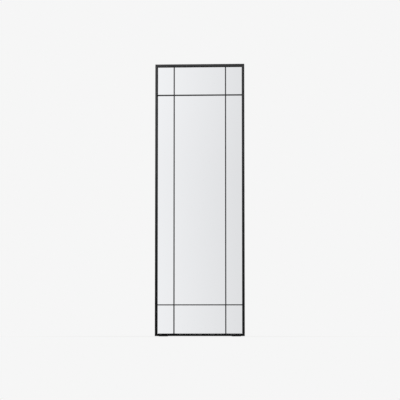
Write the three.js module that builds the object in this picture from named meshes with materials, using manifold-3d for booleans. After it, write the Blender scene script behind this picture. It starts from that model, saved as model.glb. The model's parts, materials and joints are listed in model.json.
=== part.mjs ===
// Leaning floor mirror: a welded frame of rectangular steel tube, four glazing bars, and behind them
// one sheet of mirror glass taped to a backing board, which offset clips hold in the frame.
// Millimetres. X runs across the mirror, Y from its front to the wall behind it, Z up.
// The origin is the middle of the overall box, at floor level.

import * as THREE from 'three';
import { mergeVertices, toCreasedNormals } from 'three/addons/utils/BufferGeometryUtils.js';
import Module from 'manifold-3d';

const wasm = await Module();
wasm.setup();

// ---------------------------------------------------------------- driving dimensions

// Frame of rectangular steel tube
const frameWidth = 590;
const frameHeight = 1798;
const tubeFace = 15;
const tubeDepth = 40;
const tubeWall = 1.5;
const tubeRadius = 2;
const weldGap = 0.3;

// Glazing bars, and the clear panes that they leave beside the frame
const barWidth = 7;
const barDepth = 10;
const barSetback = 14;
const barRadius = 0.8;
const sidePaneWidth = 106;
const endPaneHeight = 186;
const lapClearance = 0.3;

// Glass, tape and board, one behind the other
const glassThickness = 4;
const glassClearance = 1.5;
const glassArris = 0.5;
const tapeThickness = 1;
const tapeWidth = 25;
const tapeEndMargin = 60;
const tapeInset = 68.5;
const boardThickness = 3;
const boardClearance = 0.3;
const boardCornerCut = 4;

// Setting blocks that the glass stands on
const blockLength = 50;
const blockThickness = 1.5;
const blockInset = 110;

// Offset clips of folded sheet
const clipThickness = 1.2;
const clipWidth = 14;
const clipHeel = 5.5;
const clipFoot = 8;
const clipJoggle = 1.5;
const clipBend = 0.6;
const clipCornerRadius = 2.5;
const clipEdgeClearance = 0.3;
const stileClipInset = 240;
const railClipInset = 130;

// Pan-head screws
const screwRadius = 1.75;
const screwLength = 9;
const screwTip = 2.5;
const screwHeadRadius = 3.4;
const screwHeadHeight = 2.2;
const screwHeadRim = 0.7;
const screwClearance = 0.3;

// Strap hangers, folded round the wire of their rings
const strapSheet = 1;
const strapWidth = 12;
const strapRise = 31;
const strapNeck = 5;
const strapShoulder = 9;
const barrelLength = 9;
const strapScrewRise = 13;
const strapScrewSpacing = 12;
const hangerDrop = 130;

// Rings of round wire, bent to a D
const wireRadius = 1.25;
const wireClearance = 0.2;
const wireEndGap = 0.6;
const ringWidth = 15;
const ringSide = 5;

// Rubber bumpers behind the stiles
const bumperRadius = 6;
const bumperHeight = 6;
const bumperFillet = 1.5;
const bumperInset = 30;

// Pads under the bottom rail
const padLength = 60;
const padEdgeMargin = 0.5;
const padThickness = 2;
const padRadius = 4;
const padInset = 55;

// Fineness of the round forms
const cornerSegments = 3;
const bendSegments = 3;
const holeSides = 16;
const screwSides = 16;
const domeSteps = 4;
const bumperSides = 24;
const wireSides = 8;
const wireSteps = 56;
const creaseAngle = Math.PI / 6;
const mergeDistance = 1e-3;

// ---------------------------------------------------------------- places worked out from them

const frontY = -(tubeDepth + bumperHeight) / 2;
const backY = frontY + tubeDepth;
const frameBottomZ = padThickness;
const frameTopZ = frameBottomZ + frameHeight;

const innerWidth = frameWidth - 2 * tubeFace;
const innerHeight = frameHeight - 2 * tubeFace;
const innerBottomZ = frameBottomZ + tubeFace;
const mitreSetback = weldGap / Math.SQRT2;
const boreRadius = Math.max(tubeRadius - tubeWall, tubeWall / 4);

const uprightBarX = innerWidth / 2 - sidePaneWidth - barWidth / 2;
const levelBarRise = endPaneHeight + barWidth / 2;
const barFrontY = frontY + barSetback;

const glassFrontY = barFrontY + barDepth;
const glassBackY = glassFrontY + glassThickness;
const boardFrontY = glassBackY + tapeThickness;
const boardBackY = boardFrontY + boardThickness;
const glassWidth = innerWidth - 2 * glassClearance;
const glassHeight = innerHeight - blockThickness - glassClearance;
const boardWidth = innerWidth - 2 * boardClearance;
const boardHeight = innerHeight - 2 * boardClearance;
const glassBottomZ = innerBottomZ + blockThickness;
const boardBottomZ = innerBottomZ + boardClearance;

const stileCentreX = (frameWidth - tubeFace) / 2;
const tapeX = glassWidth / 2 - tapeInset;
const padDepth = tubeDepth - 2 * (tubeRadius + padEdgeMargin);
const clipStep = backY - boardBackY;
const screwHoleRadius = screwRadius + screwClearance;

const barrelBore = wireRadius + wireClearance;
const barrelRadius = barrelBore + strapSheet;
const ringAxisY = backY + barrelRadius;
const ringAxisZ = frameTopZ - hangerDrop;
const ringHalfWidth = ringWidth / 2 - wireRadius;
const ringBend = ringHalfWidth - barrelLength / 2;

const axisX = new THREE.Vector3(1, 0, 0);
const axisY = new THREE.Vector3(0, 1, 0);
const axisZ = new THREE.Vector3(0, 0, 1);

// ---------------------------------------------------------------- materials

function blackPowderCoat() {
  return new THREE.MeshStandardMaterial({ color: 0x1e1e20, roughness: 0.45, metalness: 0.2 });
}

function silveredGlass() {
  return new THREE.MeshStandardMaterial({ color: 0xe6e8ea, roughness: 0.03, metalness: 1 });
}

function fibreboard() {
  return new THREE.MeshStandardMaterial({ color: 0x5b4632, roughness: 0.85, metalness: 0 });
}

function foamTape() {
  return new THREE.MeshStandardMaterial({ color: 0xdedbd0, roughness: 0.9, metalness: 0 });
}

function blackRubber() {
  return new THREE.MeshStandardMaterial({ color: 0x242424, roughness: 0.8, metalness: 0 });
}

function zincSteel() {
  return new THREE.MeshStandardMaterial({ color: 0xb9bcc0, roughness: 0.35, metalness: 1 });
}

// ---------------------------------------------------------------- solids, cuts and outlines

function solidOf(geometry) {
  const bare = geometry.clone();
  bare.deleteAttribute('normal');
  bare.deleteAttribute('uv');
  const merged = mergeVertices(bare, mergeDistance);
  const vertProperties = new Float32Array(merged.attributes.position.array);
  const triVerts = new Uint32Array(merged.index.array);
  return new wasm.Manifold(new wasm.Mesh({ numProp: 3, vertProperties, triVerts }));
}

function geometryOf(solid) {
  const { vertProperties, triVerts } = solid.getMesh();
  const geometry = new THREE.BufferGeometry();
  geometry.setAttribute('position', new THREE.BufferAttribute(vertProperties, 3));
  geometry.setIndex(new THREE.BufferAttribute(triVerts, 1));
  return geometry;
}

function cut(geometry, cutters) {
  return geometryOf(cutters.reduce((solid, cutter) => solid.subtract(solidOf(cutter)), solidOf(geometry)));
}

function common(geometry, other) {
  return geometryOf(solidOf(geometry).intersect(solidOf(other)));
}

function part(name, geometry, material) {
  const mesh = new THREE.Mesh(toCreasedNormals(geometry, creaseAngle), material);
  mesh.name = name;
  return mesh;
}

// A rectangle with round corners, drawn by its four corner arcs.
function roundedRectangle(path, left, bottom, right, top, radius) {
  const quarter = Math.PI / 2;
  path.absarc(left + radius, bottom + radius, radius, 2 * quarter, 3 * quarter);
  path.absarc(right - radius, bottom + radius, radius, 3 * quarter, 4 * quarter);
  path.absarc(right - radius, top - radius, radius, 0, quarter);
  path.absarc(left + radius, top - radius, radius, quarter, 2 * quarter);
  return path;
}

// A prism along Z between two levels.
function prism(shape, start, end, curveSegments) {
  const settings = { depth: end - start, bevelEnabled: false, curveSegments };
  return new THREE.ExtrudeGeometry(shape, settings).translate(0, 0, start);
}

// A prism whose outline is drawn in X and Z and whose length runs along Y, centred on Y = 0.
function plate(shape, thickness, curveSegments) {
  const turned = new THREE.Matrix4().makeBasis(axisX, axisZ, axisY.clone().negate());
  return prism(shape, -thickness / 2, thickness / 2, curveSegments).applyMatrix4(turned);
}

// A round drill along Y, centred on the surface that it enters.
function drill(radius, depth, x, y, z) {
  return new THREE.CylinderGeometry(radius, radius, 2 * depth, holeSides).translate(x, y, z);
}

// ---------------------------------------------------------------- frame

function tubeProfile() {
  const profile = roundedRectangle(new THREE.Shape(), 0, 0, tubeFace, tubeDepth, tubeRadius);
  const bore = roundedRectangle(
    new THREE.Path(), tubeWall, tubeWall, tubeFace - tubeWall, tubeDepth - tubeWall, boreRadius,
  );
  profile.holes.push(bore);
  return profile;
}

// Draws both ends back in step with the distance from the outer side, which makes 45 degree mitres.
function mitreEnds(geometry, length) {
  const points = geometry.attributes.position;
  for (let index = 0; index < points.count; index += 1) {
    const setback = points.getX(index) + mitreSetback;
    const atStart = points.getZ(index) < length / 2;
    points.setZ(index, atStart ? setback : length - setback);
  }
  return geometry;
}

// One member lies along Z with its outer side at X = 0 and its front at Y = 0.
// The holes are in its back wall, at their distances along it.
function frameMember(name, length, holeStations) {
  const tube = mitreEnds(prism(tubeProfile(), 0, length, cornerSegments), length);
  const drills = holeStations.map(
    (station) => drill(screwHoleRadius, 2 * tubeWall, tubeFace / 2, tubeDepth, station),
  );
  return part(name, cut(tube, drills), blackPowderCoat());
}

// ---------------------------------------------------------------- board clips and screws

// The folded section of a clip: heel on the tube, joggle past its edge, foot on the board.
function clipSection() {
  const riseStart = tubeFace / 2 + clipEdgeClearance;
  const riseEnd = riseStart + clipJoggle;
  const slope = Math.hypot(clipJoggle, clipStep);
  const alongX = (clipBend * clipJoggle) / slope;
  const alongY = (clipBend * clipStep) / slope;
  const shift = clipThickness * Math.tan(Math.atan2(clipStep, clipJoggle) / 2);
  const end = riseEnd + clipFoot;
  const low = -clipStep;
  const section = new THREE.Shape();
  section.moveTo(-clipHeel, 0);
  section.lineTo(riseStart - clipBend, 0);
  section.quadraticCurveTo(riseStart, 0, riseStart + alongX, -alongY);
  section.lineTo(riseEnd - alongX, low + alongY);
  section.quadraticCurveTo(riseEnd, low, riseEnd + clipBend, low);
  section.lineTo(end, low);
  section.lineTo(end, low + clipThickness);
  section.lineTo(riseEnd + shift + clipBend, low + clipThickness);
  section.quadraticCurveTo(
    riseEnd + shift, low + clipThickness, riseEnd + shift - alongX, low + clipThickness + alongY,
  );
  section.lineTo(riseStart + shift + alongX, clipThickness - alongY);
  section.quadraticCurveTo(
    riseStart + shift, clipThickness, riseStart + shift - clipBend, clipThickness,
  );
  section.lineTo(-clipHeel, clipThickness);
  return section;
}

function clipGeometry() {
  const folded = prism(clipSection(), -clipWidth / 2, clipWidth / 2, bendSegments);
  const end = tubeFace / 2 + clipEdgeClearance + clipJoggle + clipFoot;
  const outline = roundedRectangle(
    new THREE.Shape(), -clipHeel, -clipWidth / 2, end, clipWidth / 2, clipCornerRadius,
  );
  const blank = plate(outline, 4 * (clipStep + clipThickness), cornerSegments);
  return cut(common(folded, blank), [drill(screwHoleRadius, 2 * clipThickness, 0, 0, 0)]);
}

// A screw stands on Y = 0 under its head, with its shank towards -Y.
function screwGeometry() {
  const profile = [
    new THREE.Vector2(0, -screwLength),
    new THREE.Vector2(screwRadius, screwTip - screwLength),
    new THREE.Vector2(screwRadius, 0),
    new THREE.Vector2(screwHeadRadius, 0),
  ];
  for (let step = 0; step < domeSteps; step += 1) {
    const angle = (step / domeSteps) * (Math.PI / 2);
    const height = screwHeadRim + (screwHeadHeight - screwHeadRim) * Math.sin(angle);
    profile.push(new THREE.Vector2(screwHeadRadius * Math.cos(angle), height));
  }
  profile.push(new THREE.Vector2(0, screwHeadHeight));
  return new THREE.LatheGeometry(profile, screwSides);
}

function screw(name) {
  return part(name, screwGeometry(), zincSteel());
}

// A clip and its screw, on the back of a member at a distance along it.
function boardClip(place, station) {
  const group = new THREE.Group();
  const clipScrew = screw(`clip_screw_${place}`);
  clipScrew.position.y = clipThickness;
  group.add(part(`board_clip_${place}`, clipGeometry(), zincSteel()), clipScrew);
  group.position.set(tubeFace / 2, tubeDepth, station);
  return group;
}

// Distances along a member for a row of clips, evenly spaced between two insets.
function clipStations(length, inset, count) {
  const pitch = (length - 2 * inset) / (count - 1);
  return Array.from({ length: count }, (_, index) => inset + index * pitch);
}

// ---------------------------------------------------------------- sides of the frame

const hangerScrewRises = [strapScrewRise, strapScrewRise + strapScrewSpacing];
const hangerHoleHeights = hangerScrewRises.map((rise) => ringAxisZ + rise - frameBottomZ);

// The four sides go round the frame, each turned a quarter from the one before it.
const sides = [
  {
    name: 'left_stile',
    length: frameHeight,
    corner: [-frameWidth / 2, frameBottomZ],
    clips: ['left_lower', 'left_middle', 'left_upper'],
    clipInset: stileClipInset,
    hangerHoles: hangerHoleHeights,
  },
  {
    name: 'top_rail',
    length: frameWidth,
    corner: [-frameWidth / 2, frameTopZ],
    clips: ['top_left', 'top_right'],
    clipInset: railClipInset,
    hangerHoles: [],
  },
  {
    name: 'right_stile',
    length: frameHeight,
    corner: [frameWidth / 2, frameTopZ],
    clips: ['right_upper', 'right_middle', 'right_lower'],
    clipInset: stileClipInset,
    hangerHoles: hangerHoleHeights.map((height) => frameHeight - height),
  },
  {
    name: 'bottom_rail',
    length: frameWidth,
    corner: [frameWidth / 2, frameBottomZ],
    clips: ['bottom_right', 'bottom_left'],
    clipInset: railClipInset,
    hangerHoles: [],
  },
];

function frameSide({ name, length, corner, clips, clipInset, hangerHoles }, quarter) {
  const stations = clipStations(length, clipInset, clips.length);
  const group = new THREE.Group();
  group.add(frameMember(name, length, [...stations, ...hangerHoles]));
  clips.forEach((place, index) => group.add(boardClip(place, stations[index])));
  group.rotation.y = (quarter * Math.PI) / 2;
  group.position.set(corner[0], frontY, corner[1]);
  return group;
}

// ---------------------------------------------------------------- glazing bars

// The section of a bar: its front edges at Y = 0 are rounded, its back is flat against the glass.
function barSection() {
  const half = barWidth / 2;
  const quarter = Math.PI / 2;
  const section = new THREE.Shape();
  section.moveTo(half, barDepth);
  section.lineTo(-half, barDepth);
  section.absarc(-half + barRadius, barRadius, barRadius, 2 * quarter, 3 * quarter);
  section.absarc(half - barRadius, barRadius, barRadius, 3 * quarter, 4 * quarter);
  return section;
}

// A notch through half of a bar's depth, where another bar crosses it.
function lapNotch(station, fromFront) {
  const width = barWidth + 2 * lapClearance;
  const middle = fromFront ? 0 : barDepth;
  return new THREE.BoxGeometry(2 * barWidth, barDepth, width).translate(0, middle, station);
}

function glazingBar(name, length, crossings, fromFront) {
  const bar = prism(barSection(), 0, length, cornerSegments);
  const notches = crossings.map((station) => lapNotch(station, fromFront));
  return part(name, cut(bar, notches), blackPowderCoat());
}

function uprightBar(name, x) {
  const bar = glazingBar(name, innerHeight, [levelBarRise, innerHeight - levelBarRise], false);
  bar.position.set(x, barFrontY, innerBottomZ);
  return bar;
}

function levelBar(name, rise) {
  const crossings = [innerWidth / 2 - uprightBarX, innerWidth / 2 + uprightBarX];
  const bar = glazingBar(name, innerWidth, crossings, true);
  bar.rotation.y = Math.PI / 2;
  bar.position.set(-innerWidth / 2, barFrontY, innerBottomZ + rise);
  return bar;
}

// ---------------------------------------------------------------- glass, tape, board and blocks

// One sheet with a small arris ground along all its edges.
function mirrorGlass() {
  const half = glassWidth / 2 - glassArris;
  const shape = new THREE.Shape();
  shape.moveTo(-half, glassArris);
  shape.lineTo(half, glassArris);
  shape.lineTo(half, glassHeight - glassArris);
  shape.lineTo(-half, glassHeight - glassArris);
  const sheet = new THREE.ExtrudeGeometry(shape, {
    depth: glassThickness - 2 * glassArris,
    bevelSize: glassArris,
    bevelThickness: glassArris,
    bevelSegments: 1,
  });
  const glass = part('mirror_glass', sheet.rotateX(Math.PI / 2), silveredGlass());
  glass.position.set(0, glassBackY - glassArris, glassBottomZ);
  return glass;
}

// The board nearly fills the frame, so no light shows past the glass. Its corners are snipped, to
// stand clear of the welds.
function backingBoard() {
  const half = boardWidth / 2;
  const shape = new THREE.Shape();
  shape.moveTo(-half + boardCornerCut, 0);
  shape.lineTo(half - boardCornerCut, 0);
  shape.lineTo(half, boardCornerCut);
  shape.lineTo(half, boardHeight - boardCornerCut);
  shape.lineTo(half - boardCornerCut, boardHeight);
  shape.lineTo(-half + boardCornerCut, boardHeight);
  shape.lineTo(-half, boardHeight - boardCornerCut);
  shape.lineTo(-half, boardCornerCut);
  const board = part('backing_board', plate(shape, boardThickness, 1), fibreboard());
  board.position.set(0, (boardFrontY + boardBackY) / 2, boardBottomZ);
  return board;
}

function mirrorTape(name, x) {
  const length = glassHeight - 2 * tapeEndMargin;
  const strip = new THREE.BoxGeometry(tapeWidth, tapeThickness, length);
  const tape = part(name, strip, foamTape());
  tape.position.set(x, (glassBackY + boardFrontY) / 2, glassBottomZ + glassHeight / 2);
  return tape;
}

function settingBlock(name, x) {
  const half = glassThickness / 2;
  const outline = roundedRectangle(
    new THREE.Shape(), -blockLength / 2, -half, blockLength / 2, half, blockThickness,
  );
  const block = part(name, prism(outline, 0, blockThickness, cornerSegments), blackRubber());
  block.position.set(x, (glassFrontY + glassBackY) / 2, innerBottomZ);
  return block;
}

// ---------------------------------------------------------------- strap hangers and rings

// The folded section, seen along the barrel: a flat back, a round turn about the wire at the origin,
// and a front layer that closes on the back one. Its first coordinate is Y and its second is Z.
function strapSection() {
  const turnEnd = Math.PI / 3;
  const frontFace = 2 * strapSheet - barrelRadius;
  const turnX = barrelRadius * Math.cos(turnEnd);
  const turnZ = barrelRadius * Math.sin(turnEnd);
  const closeZ = turnZ + (turnX - frontFace) / Math.tan(turnEnd);
  const section = new THREE.Shape();
  section.moveTo(-barrelRadius, strapRise);
  section.absarc(0, 0, barrelRadius, Math.PI, 2 * Math.PI + turnEnd);
  section.quadraticCurveTo(frontFace, closeZ, frontFace, 2 * closeZ - turnZ);
  section.lineTo(frontFace, strapRise);
  const bore = new THREE.Path();
  bore.absarc(0, 0, barrelBore, 0, 2 * Math.PI);
  section.holes.push(bore);
  return section;
}

// The strap's outline from behind: narrow at the barrel, then widening, with a round top.
function strapOutline() {
  const neck = barrelLength / 2;
  const half = strapWidth / 2;
  const foot = -2 * barrelRadius;
  const outline = new THREE.Shape();
  outline.moveTo(-neck, foot);
  outline.lineTo(neck, foot);
  outline.lineTo(neck, strapNeck);
  outline.lineTo(half, strapShoulder);
  outline.absarc(0, strapRise - half, half, 0, Math.PI);
  outline.lineTo(-half, strapShoulder);
  outline.lineTo(-neck, strapNeck);
  return outline;
}

function strapGeometry() {
  const turned = new THREE.Matrix4().makeBasis(axisY, axisZ, axisX);
  const folded = prism(strapSection(), -strapWidth, strapWidth, 3 * bendSegments).applyMatrix4(turned);
  const blank = plate(strapOutline(), 4 * barrelRadius, 2 * cornerSegments);
  const drills = hangerScrewRises.map(
    (rise) => drill(screwHoleRadius, 4 * strapSheet, 0, -barrelRadius, rise),
  );
  return cut(common(folded, blank), drills);
}

// The centre line of a ring that hangs from the origin. The wire starts inside the barrel, goes round
// the D and comes back into the barrel from the other end, where a small gap parts its two ends.
class RingLine extends THREE.Curve {
  constructor() {
    super();
    this.bar = barrelLength / 2 - wireEndGap / 2;
    this.bend = (ringBend * Math.PI) / 2;
    this.bow = (ringHalfWidth * Math.PI) / 2;
    this.half = this.bar + this.bend + ringSide + this.bow;
  }

  getPoint(t, target = new THREE.Vector3()) {
    const side = t < 1 / 2 ? 1 : -1;
    let run = this.half * (1 - Math.abs(2 * t - 1));
    if (run <= this.bar) {
      return target.set(side * (wireEndGap / 2 + run), 0, 0);
    }
    run -= this.bar;
    if (run <= this.bend) {
      const turn = run / ringBend;
      const x = barrelLength / 2 + ringBend * Math.sin(turn);
      return target.set(side * x, 0, ringBend * (Math.cos(turn) - 1));
    }
    run -= this.bend;
    if (run <= ringSide) {
      return target.set(side * ringHalfWidth, 0, -ringBend - run);
    }
    const turn = (run - ringSide) / ringHalfWidth;
    const drop = ringBend + ringSide + ringHalfWidth * Math.sin(turn);
    return target.set(side * ringHalfWidth * Math.cos(turn), 0, -drop);
  }
}

function ringGeometry() {
  const wire = new THREE.Shape();
  wire.absarc(0, 0, wireRadius, 0, 2 * Math.PI);
  return new THREE.ExtrudeGeometry(wire, {
    steps: wireSteps,
    curveSegments: wireSides / 2,
    extrudePath: new RingLine(),
  });
}

// A strap hanger with its ring and screws, behind one stile.
function hanger(place, x) {
  const group = new THREE.Group();
  group.add(part(`strap_hanger_${place}`, strapGeometry(), zincSteel()));
  group.add(part(`hanger_ring_${place}`, ringGeometry(), zincSteel()));
  ['lower', 'upper'].forEach((level, index) => {
    const strapScrew = screw(`hanger_screw_${place}_${level}`);
    strapScrew.position.set(0, 2 * strapSheet - barrelRadius, hangerScrewRises[index]);
    group.add(strapScrew);
  });
  group.position.set(x, ringAxisY, ringAxisZ);
  return group;
}

// ---------------------------------------------------------------- bumpers and foot pads

function wallBumper(name, x, z) {
  const profile = [new THREE.Vector2(0, 0), new THREE.Vector2(bumperRadius, 0)];
  const arcSteps = 2 * domeSteps;
  for (let step = 0; step <= arcSteps; step += 1) {
    const angle = (step / arcSteps) * (Math.PI / 2);
    const radius = bumperRadius - bumperFillet * (1 - Math.cos(angle));
    const height = bumperHeight - bumperFillet * (1 - Math.sin(angle));
    profile.push(new THREE.Vector2(radius, height));
  }
  profile.push(new THREE.Vector2(0, bumperHeight));
  const bumper = part(name, new THREE.LatheGeometry(profile, bumperSides), blackRubber());
  bumper.position.set(x, backY, z);
  return bumper;
}

function footPad(name, x) {
  const outline = roundedRectangle(
    new THREE.Shape(), -padLength / 2, -padDepth / 2, padLength / 2, padDepth / 2, padRadius,
  );
  const pad = part(name, prism(outline, 0, padThickness, cornerSegments), blackRubber());
  pad.position.set(x, (frontY + backY) / 2, 0);
  return pad;
}

// ---------------------------------------------------------------- assembly

const mirror = new THREE.Group();

sides.forEach((side, quarter) => mirror.add(frameSide(side, quarter)));

mirror.add(
  uprightBar('left_glazing_bar', -uprightBarX),
  uprightBar('right_glazing_bar', uprightBarX),
  levelBar('lower_glazing_bar', levelBarRise),
  levelBar('upper_glazing_bar', innerHeight - levelBarRise),
  mirrorGlass(),
  backingBoard(),
  mirrorTape('mirror_tape_left', -tapeX),
  mirrorTape('mirror_tape_centre', 0),
  mirrorTape('mirror_tape_right', tapeX),
);

for (const [place, hand] of [['left', -1], ['right', 1]]) {
  const bumperX = hand * stileCentreX;
  mirror.add(
    settingBlock(`setting_block_${place}`, hand * (innerWidth / 2 - blockInset)),
    hanger(place, hand * stileCentreX),
    wallBumper(`wall_bumper_upper_${place}`, bumperX, frameTopZ - bumperInset),
    wallBumper(`wall_bumper_lower_${place}`, bumperX, frameBottomZ + bumperInset),
    footPad(`foot_pad_${place}`, hand * (frameWidth / 2 - padInset)),
  );
}

export default mirror;
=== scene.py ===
# %% [markdown]
# # A leaning floor mirror
# The real object is a tall sheet of silvered glass in a slim frame of black steel tube. Four thin
# glazing bars cross in front of the glass and part it into border panes, as in an old window. Behind
# it are a backing board with its clips, two hangers and four bumpers for the wall, and two pads stand
# under it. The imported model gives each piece's true size and place, so it is loaded first.

import json
import math

import bmesh
import bpy
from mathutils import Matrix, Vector


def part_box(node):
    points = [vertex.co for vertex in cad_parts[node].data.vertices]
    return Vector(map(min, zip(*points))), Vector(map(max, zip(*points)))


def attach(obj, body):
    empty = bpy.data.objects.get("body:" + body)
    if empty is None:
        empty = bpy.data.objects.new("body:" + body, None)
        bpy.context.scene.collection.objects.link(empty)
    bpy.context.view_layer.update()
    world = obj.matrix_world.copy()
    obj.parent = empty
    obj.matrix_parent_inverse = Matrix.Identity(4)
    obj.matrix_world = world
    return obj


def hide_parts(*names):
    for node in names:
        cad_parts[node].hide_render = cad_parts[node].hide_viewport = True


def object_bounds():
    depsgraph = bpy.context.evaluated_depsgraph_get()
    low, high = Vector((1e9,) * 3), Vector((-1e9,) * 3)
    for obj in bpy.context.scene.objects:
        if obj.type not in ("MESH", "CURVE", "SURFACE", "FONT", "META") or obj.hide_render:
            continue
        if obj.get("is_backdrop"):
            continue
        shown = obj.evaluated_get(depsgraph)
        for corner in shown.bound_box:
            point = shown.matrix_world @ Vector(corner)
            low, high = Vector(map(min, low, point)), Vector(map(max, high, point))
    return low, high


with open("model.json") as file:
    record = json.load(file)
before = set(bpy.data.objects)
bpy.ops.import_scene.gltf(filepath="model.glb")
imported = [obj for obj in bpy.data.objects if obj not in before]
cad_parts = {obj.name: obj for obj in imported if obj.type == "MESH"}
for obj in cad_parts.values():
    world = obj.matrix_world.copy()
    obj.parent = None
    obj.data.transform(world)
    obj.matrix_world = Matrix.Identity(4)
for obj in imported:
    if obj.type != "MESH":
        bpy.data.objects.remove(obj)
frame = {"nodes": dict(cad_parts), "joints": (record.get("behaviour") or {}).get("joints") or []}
cad_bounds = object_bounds()
cad_size = cad_bounds[1] - cad_bounds[0]
print("CAD nodes:", len(frame["nodes"]), "size in mm:", [round(1000 * side, 1) for side in cad_size])

# %% [markdown]
# All work is in metres, but workshop sizes are in millimetres, so one constant turns one into the
# other. Sizes are read from the boxes of the CAD nodes, and only what the boxes can't tell, such as
# the radius of an edge, is written here.

# %% Read the main sizes from the frame
MM = 0.001


def span(node, axis):
    """The lowest and highest coordinate of a CAD node along one axis."""
    low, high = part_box(node)
    index = "xyz".index(axis)
    return low[index], high[index]


front_y, back_y = span("left_stile", "y")
frame_left, frame_right = span("left_stile", "x")[0], span("right_stile", "x")[1]
frame_bottom, frame_top = span("bottom_rail", "z")[0], span("top_rail", "z")[1]
tube_face = span("left_stile", "x")[1] - frame_left
tube_depth = back_y - front_y
board_back_y = span("backing_board", "y")[1]
stile_middle = frame_right - tube_face / 2
hands = {"left": -1, "right": 1}
print("tube in mm:", round(tube_face / MM, 2), "x", round(tube_depth / MM, 2))

# %% [markdown]
# Node maths reads best as plain arithmetic. A small class wraps one socket of a node tree, and
# Python's operators on it add Math nodes. Every other node comes from one method, which sets the
# node's settings first and then fills its sockets with values or with wires. Materials, the world
# and the Geometry Nodes further down all use it.

# %% A wire, and a tree that takes nodes
class Wire:
    """An output socket that can stand in an arithmetic expression."""

    def __init__(self, tree, socket):
        self.tree = tree
        self.socket = socket

    def __add__(self, other):
        return self.tree.math("ADD", self, other)

    def __radd__(self, other):
        return self.tree.math("ADD", other, self)

    def __sub__(self, other):
        return self.tree.math("SUBTRACT", self, other)

    def __rsub__(self, other):
        return self.tree.math("SUBTRACT", other, self)

    def __mul__(self, other):
        return self.tree.math("MULTIPLY", self, other)

    def __rmul__(self, other):
        return self.tree.math("MULTIPLY", other, self)


class NodeTree:
    """Any node tree, which this class fills with nodes and wires."""

    def __init__(self, tree):
        self.nodes = tree.nodes
        self.links = tree.links
        self.nodes.clear()

    def add(self, kind, settings=None, sockets=None, output=0):
        node = self.nodes.new(kind)
        for name, value in (settings or {}).items():
            setattr(node, name, value)
        for key, value in (sockets or {}).items():
            if isinstance(value, Wire):
                self.links.new(value.socket, node.inputs[key])
            else:
                node.inputs[key].default_value = value
        return Wire(self, node.outputs[output]) if node.outputs else node

    def math(self, operation, first, second=0.0):
        return self.add("ShaderNodeMath", {"operation": operation}, {0: first, 1: second})

    def parts(self, vector):
        """The X, Y and Z of a vector, as three wires."""
        split = self.add("ShaderNodeSeparateXYZ", sockets={"Vector": vector})
        return [Wire(self, socket) for socket in split.socket.node.outputs]


print("node helpers are ready")

# %% [markdown]
# Materials and the world need a few nodes again and again: a place on the object, noise of a known
# grain, a smooth ramp, a bump of a known height. They become methods of a shader tree.

# %% A tree for shaders
class ShaderTree(NodeTree):
    """The node tree of a material or of the world."""

    def __init__(self, owner):
        self.owner = owner
        owner.use_nodes = True
        super().__init__(owner.node_tree)

    def place(self):
        """Object coordinates, in metres from the origin of the frame."""
        return self.add("ShaderNodeTexCoord", output="Object")

    def vector_math(self, operation, first, second):
        return self.add("ShaderNodeVectorMath", {"operation": operation}, {0: first, 1: second})

    def noise(self, vector, grain, detail=2.0, roughness=0.5):
        """Smooth noise from 0 to 1 whose blotches are about one grain across."""
        sockets = {"Vector": vector, "Scale": 1 / grain, "Detail": detail, "Roughness": roughness}
        return self.add("ShaderNodeTexNoise", sockets=sockets)

    def stretch(self, vector, scale):
        """A vector with each of its parts multiplied by its own number."""
        return self.vector_math("MULTIPLY", vector, scale)

    def wander(self, vector, reach, grain):
        """A vector moved about by coloured noise, so that straight patterns bend."""
        drift = self.add("ShaderNodeTexNoise", sockets={"Vector": vector, "Scale": 1 / grain}, output=1)
        centred = self.vector_math("SUBTRACT", drift, (0.5, 0.5, 0.5))
        return self.vector_math("ADD", vector, self.stretch(centred, (reach, reach, reach)))

    def ramp(self, value, low, high, start=0.0, end=1.0):
        """Goes smoothly from start to end while the value goes from low to high."""
        sockets = {"Value": value, "From Min": low, "From Max": high, "To Min": start, "To Max": end}
        return self.add("ShaderNodeMapRange", {"interpolation_type": "SMOOTHSTEP"}, sockets)

    def blend(self, factor, first, second):
        """A colour between two others. A Mix node has its colours on sockets 6 and 7 and output 2."""
        sockets = {0: factor, 6: first, 7: second}
        return self.add("ShaderNodeMix", {"data_type": "RGBA"}, sockets, output=2)

    def bump(self, height, distance, strength=1.0):
        """A normal that makes a height from 0 to 1 look that many metres high."""
        sockets = {"Strength": strength, "Distance": distance, "Height": height}
        return self.add("ShaderNodeBump", sockets=sockets)

    def surface(self, **sockets):
        """Ends the tree in a Principled shader. Underscores in names stand for spaces."""
        named = {name.replace("_", " "): value for name, value in sockets.items()}
        shader = self.add("ShaderNodeBsdfPrincipled", sockets=named)
        self.add("ShaderNodeOutputMaterial", sockets={"Surface": shader})
        return self.owner


def material_tree(name):
    """The tree of a new material, and the place on the object as a wire."""
    tree = ShaderTree(bpy.data.materials.new(name))
    return tree, tree.place()


print("shader helpers are ready")

# %% [markdown]
# ## Black powder coat
# The frame is sprayed with powder that melts in an oven. It flows into a matt skin with a fine
# orange peel, and its gloss drifts a little from place to place. A bump from two noises gives the
# peel, which is too low for displacement, and a wide noise varies the roughness. The colour is a
# charcoal black, never pure black.

# %% Powder coat
def black_powder_coat():
    tree, place = material_tree("black_powder_coat")
    drift = tree.noise(place, 90 * MM, detail=3.0)
    peel = tree.noise(place, 2.2 * MM, detail=1.0)
    speck = tree.noise(place, 0.5 * MM, detail=1.0)
    colour = tree.blend(tree.ramp(drift, 0.3, 0.7), (0.027, 0.027, 0.028, 1), (0.033, 0.033, 0.034, 1))
    return tree.surface(
        Base_Color=colour,
        Roughness=0.6 + 0.1 * drift + 0.06 * speck,
        Specular_IOR_Level=0.05,
        Normal=tree.bump(0.7 * peel + 0.3 * speck, 0.012 * MM, strength=0.6),
    )


powder_coat = black_powder_coat()
print("made", powder_coat.name)

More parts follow.
